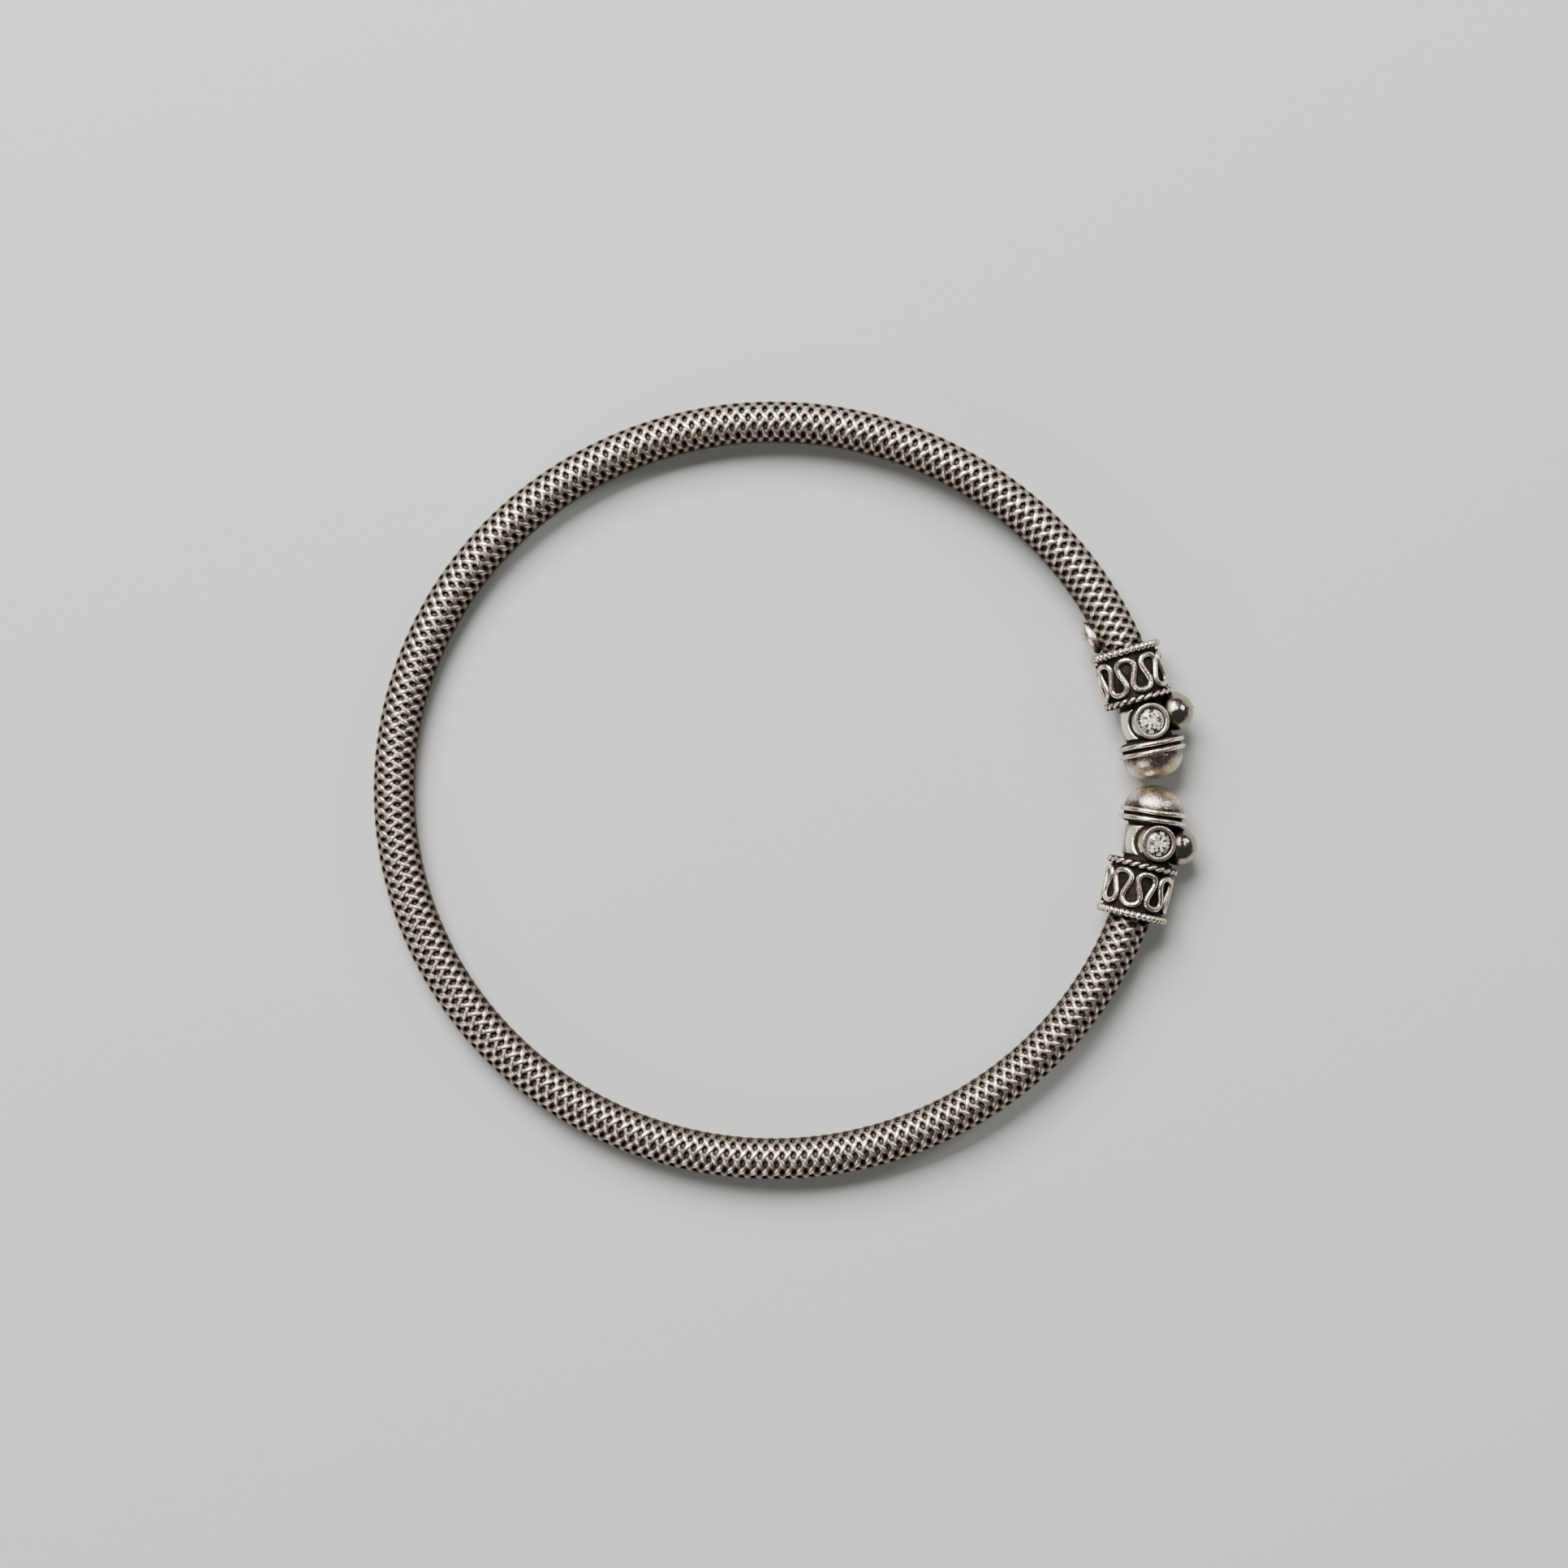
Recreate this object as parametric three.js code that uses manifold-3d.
// An open ankle bangle of silver: a woven tube bent to an oval, with a jewelled cap soldered up on each end.
// Millimetres, +Z up. The bangle lies on its side as it does on a table, so that the far side of the tube
// and the beaded rims of the two thicker collars touch the plane z = 0.
//
// Everything is first made straight, and then set on the oval, the tube bent and each cap stiff:
//   x points out from the bangle, y runs along the tube from the middle of the gap, z points up.
import * as THREE from "three";
import { mergeVertices } from "three/addons/utils/BufferGeometryUtils.js";
import Module from "manifold-3d";

const wasm = await Module();
wasm.setup();

// ---- The ring ----
const RING_HALF_WIDTH = 44.4; // of the tube's centreline, along X
const RING_HALF_DEPTH = 43.1; // and along Y
const GAP_MIDDLE = 1.0; // how far round the ring the gap's middle lies from the ring's widest point
const CLEARANCE = 0.3; // round a piece that sits inside another

// ---- The woven tube ----
const TUBE_RADIUS = 2.5;
const TUBE_BORE = 1.7;
const TUBE_SIDES = 16;
const TUBE_STEPS = 56; // along its outside
const BORE_STEPS = 28; // and along its bore

// ---- The end cap, by its distance y from the middle of the gap ----
const DOME = { tip: 0.31, base: 3.2, radius: 3.65 };
const END_RINGS = { places: [3.5, 4.43], wire: 0.3, radius: 3.7, floor: 3.4 };
const NECK = { start: 4.9, end: 9.5, radius: 2.7 };
const PANEL = { start: 5.3, end: 8.8, radius: 2.95, inner: 2.5, reach: -0.9 };
const COLLAR = { end: 16.0, radius: 3.5, floor: 10.6, seat: 3.65, ropeSeat: 10.25, rimSeat: 15.4 };
// A cap has two straight axes, its head's and its collar's. Each crosses the oval at a distance from the gap's
// middle, and is turned by an angle in degrees from the direction that the oval has there in the middle.
const HEAD_AXIS = { crossing: 5.5, lean: 10.2 };
const COLLAR_AXIS = { crossing: 15.7, lean: 14.4 };
const ROPE = { place: 9.9, radius: 3.8, wide: 0.39, narrow: 0.21, marks: 24 };
const RIM = { place: 15.7, radius: 3.84, bead: 0.42, waist: 0.3, beads: 36 };
const MEANDER = { low: 10.78, high: 14.65, radius: 3.69, wire: 0.34, waves: 8, swell: 0.17, start: 10 };

// ---- What the neck carries, by its place round the neck: 0 points outward, 90 degrees up ----
const ORNAMENT_MIDDLE = 7.05;
const BEZEL = { places: [82, -74], radius: 2.12, top: 3.8, root: 1.9, clearance: 0.38 };
const BALL = { place: 4, radius: 2.25, centre: 3.55 };
const STONE = { girdle: 1.5, table: 0.86, crown: 0.42, edge: 0.08, pavilion: 1.1, seat: 3.3, facets: 8 };
const CUP = { radius: STONE.girdle + 0.22, straight: STONE.seat - 0.2, floor: BEZEL.root - 0.05, floorRadius: 0.4 };
const TAB = { start: 16.8, length: 4.3, width: 2.8, depth: 2.1, centre: 2.7 };

const silver = (name, color, roughness) =>
  Object.assign(new THREE.MeshStandardMaterial({ color, roughness, metalness: 1 }), { name });
const WOVEN_SILVER = silver("woven silver", 0xb9b1a8, 0.38);
const OXIDISED_SILVER = silver("oxidised silver", 0x8d857c, 0.4);
const BRIGHT_SILVER = silver("bright silver", 0xd8d5d0, 0.2);
const CLEAR_STONE = new THREE.MeshStandardMaterial({ name: "clear stone", color: 0xe4e6e8, roughness: 0.05 });

// ---- The ring's curve ----
const oval = new THREE.EllipseCurve(0, 0, RING_HALF_WIDTH, RING_HALF_DEPTH, 0, 2 * Math.PI);
oval.arcLengthDivisions = 4000;
const ROUND = oval.getLength();

/** The share of the way round the oval at a distance from the middle of the gap. */
const shareAt = (distance) => ((distance + GAP_MIDDLE) / ROUND + 1) % 1;

/** The direction that points out of the oval at a distance from the middle of the gap, between -pi and pi. */
function outwardAt(distance) {
  const tangent = oval.getTangentAt(shareAt(distance));
  return Math.atan2(-tangent.x, tangent.y);
}

/** The bent tube's middle and outward direction at a distance from the middle of the gap. */
const alongRing = (distance) => ({ middle: oval.getPointAt(shareAt(distance)), outward: outwardAt(distance) });

/** The same for a stiff cap: the head and the collar each keep one direction. */
function alongCap(distance) {
  const side = Math.sign(distance);
  const axis = side * distance < NECK.end - 0.1 ? HEAD_AXIS : COLLAR_AXIS;
  const outward = outwardAt(0) + side * THREE.MathUtils.degToRad(axis.lean);
  const crossing = oval.getPointAt(shareAt(side * axis.crossing));
  const direction = new THREE.Vector2(-Math.sin(outward), Math.cos(outward));
  return { middle: crossing.addScaledVector(direction, distance - side * axis.crossing), outward };
}

/**
 * Sets a straight geometry on the ring. The upper cap runs one way round from the gap (side 1). The lower one
 * (side -1) is turned over, so its y runs the other way round and its z points down.
 */
function setOnRing(geometry, side = 1, along = alongRing) {
  const places = geometry.getAttribute("position");
  for (let i = 0; i < places.count; i++) {
    const { middle, outward } = along(side * places.getY(i));
    const x = places.getX(i);
    const z = places.getZ(i);
    places.setXYZ(i, middle.x + x * Math.cos(outward), middle.y + x * Math.sin(outward), side * z);
  }
  places.needsUpdate = true;
  geometry.computeVertexNormals();
  return geometry;
}

// ---- Solids and geometries ----

/** A closed geometry as a solid that can be joined and cut. */
function solidOf(geometry) {
  const bare = geometry.clone();
  for (const name of Object.keys(bare.attributes)) if (name !== "position") bare.deleteAttribute(name);
  const merged = mergeVertices(bare, 1e-4);
  return new wasm.Manifold(
    new wasm.Mesh({
      numProp: 3,
      vertProperties: merged.getAttribute("position").array,
      triVerts: new Uint32Array(merged.index.array),
    }),
  );
}

/** A solid as a geometry for a mesh. */
function geometryOf(solid) {
  const mesh = solid.getMesh();
  return new THREE.BufferGeometry()
    .setAttribute("position", new THREE.BufferAttribute(new Float32Array(mesh.vertProperties), 3))
    .setIndex(new THREE.BufferAttribute(new Uint32Array(mesh.triVerts), 1));
}

/** Turns a profile of [radius, y] points about the y axis. */
const turned = (profile, sides, start = 0) =>
  new THREE.LatheGeometry(profile.map(([radius, y]) => new THREE.Vector2(radius, y)), sides, start);

/** Points on an arc of an ellipse, from one angle to another, as [radius, y]. */
function arc(radius, y, wide, high, from, to, steps) {
  return Array.from({ length: steps + 1 }, (_, i) => {
    const angle = THREE.MathUtils.degToRad(from + ((to - from) * i) / steps);
    return [radius + wide * Math.cos(angle), y + high * Math.sin(angle)];
  });
}

/** Turns a geometry that stands along y so that it points out from the neck at a place round it. */
function aroundNeck(geometry, degrees) {
  return geometry
    .rotateZ(-Math.PI / 2)
    .rotateY(-THREE.MathUtils.degToRad(degrees))
    .translate(0, ORNAMENT_MIDDLE, 0);
}

/** The applied wire that swings to and fro round the collar. Its bends are wider than the necks between them. */
class Meander extends THREE.Curve {
  constructor(side) {
    super();
    this.start = side * THREE.MathUtils.degToRad(MEANDER.start);
  }
  getPoint(share, target = new THREE.Vector3()) {
    const { low, high, radius, waves, swell } = MEANDER;
    const phase = 2 * Math.PI * waves * share;
    const angle = this.start - phase / waves - swell * Math.sin(2 * phase);
    const y = (low + high) / 2 + ((high - low) / 2) * Math.cos(phase);
    return target.set(radius * Math.cos(angle), y, radius * Math.sin(angle));
  }
}

/** A ring of wire round the y axis, whose section is set for each step by its own function. */
function wireRing(radius, y, steps, sides, section) {
  const ring = new THREE.TorusGeometry(radius, 1, sides, steps);
  const places = ring.getAttribute("position");
  let i = 0;
  for (let side = 0; side <= sides; side++) {
    for (let step = 0; step <= steps; step++, i++) {
      const round = (2 * Math.PI * (step % steps)) / steps;
      const [out, along] = section(step % steps, (2 * Math.PI * (side % sides)) / sides);
      places.setXYZ(i, (radius + out) * Math.cos(round), y + along, -(radius + out) * Math.sin(round));
    }
  }
  return ring;
}

// ---- The pieces ----

/** The woven tube: its ends stand inside the collars. */
function wovenTube() {
  const inside = COLLAR.floor + CLEARANCE;
  const length = ROUND - 2 * inside;
  const wall = (radius, steps) =>
    Array.from({ length: steps + 1 }, (_, i) => [radius, inside + (length * i) / steps]);
  const outer = wall(TUBE_RADIUS, TUBE_STEPS);
  const bore = wall(TUBE_BORE, BORE_STEPS).reverse();
  return setOnRing(turned([...outer, ...bore, outer[0]], TUBE_SIDES, Math.PI / TUBE_SIDES));
}

/** The cap's body: a dome, two plain wires round its base, the neck and the collar. */
function capBody() {
  const dome = arc(0, DOME.base, DOME.radius, DOME.base - DOME.tip, -90, 0, 6);
  dome[0][0] = 0;
  const wires = END_RINGS.places.flatMap((place) => [
    [END_RINGS.floor, place - END_RINGS.wire],
    ...arc(END_RINGS.radius, place, END_RINGS.wire, END_RINGS.wire, -75, 75, 3),
    [END_RINGS.floor, place + END_RINGS.wire],
  ]);
  const neck = [[END_RINGS.floor, NECK.start], [NECK.radius, NECK.start], [NECK.radius, NECK.end]];
  const sleeve = [
    [COLLAR.seat, NECK.end],
    [COLLAR.seat, COLLAR.ropeSeat],
    [COLLAR.radius, COLLAR.ropeSeat],
    [COLLAR.radius, COLLAR.rimSeat],
    [COLLAR.seat, COLLAR.rimSeat],
    [COLLAR.seat, COLLAR.end],
    [0, COLLAR.end],
  ];
  return solidOf(turned([...dome, ...wires, ...neck, ...sleeve], 24));
}

/** The beaded wire at the collar's mouth: thick at each bead and thin between two. */
function beadedRim() {
  const { radius, place, bead, waist, beads } = RIM;
  return solidOf(
    wireRing(radius, place, 2 * beads, 5, (step, angle) => {
      const thick = step % 2 ? waist : bead;
      return [thick * Math.cos(angle), thick * Math.sin(angle)];
    }),
  );
}

/** The twisted wire at the collar's other end: a flat section that turns half round for each mark. */
function twistedRope() {
  const { radius, place, wide, narrow, marks } = ROPE;
  const stepsPerMark = 3;
  return solidOf(
    wireRing(radius, place, marks * stepsPerMark, 4, (step, angle) => {
      const twist = (Math.PI * step) / stepsPerMark;
      const across = wide * Math.cos(angle);
      const through = narrow * Math.sin(angle);
      return [
        across * Math.cos(twist) - through * Math.sin(twist),
        across * Math.sin(twist) + through * Math.cos(twist),
      ];
    }),
  );
}

/** The serpentine wire on the collar. Its curve is closed, so the tube along it has no ends. */
function serpentineWire(side) {
  return solidOf(new THREE.TubeGeometry(new Meander(side), MEANDER.waves * 12, MEANDER.wire, 5, true));
}

/** A round post that stands out from the neck, for a bezel and for the clear space round one. */
function neckPost(radius, place) {
  const height = BEZEL.top - BEZEL.root;
  const post = new THREE.CylinderGeometry(radius, radius, height, 20).translate(0, BEZEL.root + height / 2, 0);
  return solidOf(aroundNeck(post, place));
}

/** The plain raised panel on the inner half of the neck, cut back round each bezel. */
function neckPanel() {
  const { start, end, radius, inner, reach } = PANEL;
  const pipe = turned([[inner, start], [radius, start], [radius, end], [inner, end], [inner, start]], 24);
  const outerHalf = new THREE.BoxGeometry(10, 10, 10).translate(reach + 5, ORNAMENT_MIDDLE, 0);
  const panel = solidOf(pipe).subtract(solidOf(outerHalf));
  return BEZEL.places.reduce(
    (left, place) => left.subtract(neckPost(BEZEL.radius + BEZEL.clearance, place)),
    panel,
  );
}

/** The polished ball on the outer side of the neck. */
const neckBall = () =>
  solidOf(aroundNeck(new THREE.SphereGeometry(BALL.radius, 14, 10).translate(0, BALL.centre, 0), BALL.place));

/** The cup that a stone sits in: straight for its edge and tapered for its point. */
function stoneCup(place) {
  const { radius, straight, floor, floorRadius } = CUP;
  const above = BEZEL.top + 1;
  return solidOf(aroundNeck(turned([[0, floor], [floorRadius, floor], [radius, straight], [radius, above],
    [0, above]], 16), place));
}

/** The socket that the tube's end stands in. It bends with the tube. */
function tubeSocket(side) {
  const radius = TUBE_RADIUS + CLEARANCE;
  const past = COLLAR.end + 1;
  const wall = Array.from({ length: 4 }, (_, i) => [radius, COLLAR.floor + ((past - COLLAR.floor) * i) / 3]);
  return solidOf(setOnRing(turned([[0, COLLAR.floor], ...wall, [0, past]], TUBE_SIDES, Math.PI / TUBE_SIDES), side));
}

/** One end cap, soldered up as one piece and set on the ring. */
function endCap(side) {
  let cap = capBody().add(serpentineWire(side)).add(beadedRim()).add(twistedRope());
  cap = cap.add(neckPanel()).add(neckBall());
  for (const place of BEZEL.places) cap = cap.add(neckPost(BEZEL.radius, place)).subtract(stoneCup(place));
  return geometryOf(solidOf(setOnRing(geometryOf(cap), side, alongCap)).subtract(tubeSocket(side)));
}

/** A round stone with a flat table, eight crown facets, a thin edge and eight facets down to its point. */
function stone(place, side) {
  const { girdle, table, crown, edge, pavilion, seat, facets } = STONE;
  const cut = [[0, seat - pavilion], [girdle, seat], [girdle, seat + edge], [table, seat + edge + crown],
    [0, seat + edge + crown]];
  return setOnRing(aroundNeck(turned(cut, facets), place), side, alongCap);
}

/** The smooth tab inside the tube, against the upper collar's rim. Its back is hollowed to clear the tube. */
function innerTab() {
  const middle = TAB.start + TAB.length / 2;
  const lens = new THREE.SphereGeometry(0.5, 16, 10)
    .rotateZ(Math.PI / 2)
    .scale(TAB.depth, TAB.length, TAB.width)
    .translate(-TAB.centre, middle, 0);
  const tube = new THREE.CylinderGeometry(1, 1, 2 * TAB.length, 32)
    .scale(TUBE_RADIUS + CLEARANCE, 1, TUBE_RADIUS + CLEARANCE)
    .translate(0, middle, 0);
  return setOnRing(geometryOf(solidOf(lens).subtract(solidOf(tube))));
}

// ---- The bangle ----

function named(name, geometry, material) {
  const mesh = new THREE.Mesh(geometry, material);
  mesh.name = name;
  return mesh;
}

/** A cap and its two stones, on the ring. */
function jewelledCap(name, side) {
  const group = new THREE.Group();
  group.add(named(`${name}_cap`, endCap(side), OXIDISED_SILVER));
  for (const place of BEZEL.places) {
    const face = place * side > 0 ? "top" : "under";
    group.add(named(`${name}_${face}_stone`, stone(place, side), CLEAR_STONE));
  }
  return group;
}

const ring = new THREE.Group();
ring.add(named("woven_tube", wovenTube(), WOVEN_SILVER));
ring.add(jewelledCap("upper", 1), jewelledCap("lower", -1));
ring.add(named("inner_tab", innerTab(), BRIGHT_SILVER));

// The collars are thicker than the tube, so the ring lies tipped: it is turned about Y and set down on z = 0.
const rimX = oval.getPointAt(shareAt(RIM.place)).x;
const rimDrop = RIM.radius + RIM.bead - TUBE_RADIUS * Math.cos(Math.PI / TUBE_SIDES);
ring.rotation.y = -Math.atan2(rimDrop, rimX + RING_HALF_WIDTH);
ring.updateMatrixWorld(true);
const reach = new THREE.Box3().setFromObject(ring, true);
const middle = reach.getCenter(new THREE.Vector3());
ring.position.set(-middle.x, -middle.y, -reach.min.z);

const bangle = new THREE.Group();
bangle.add(ring);
export default bangle;
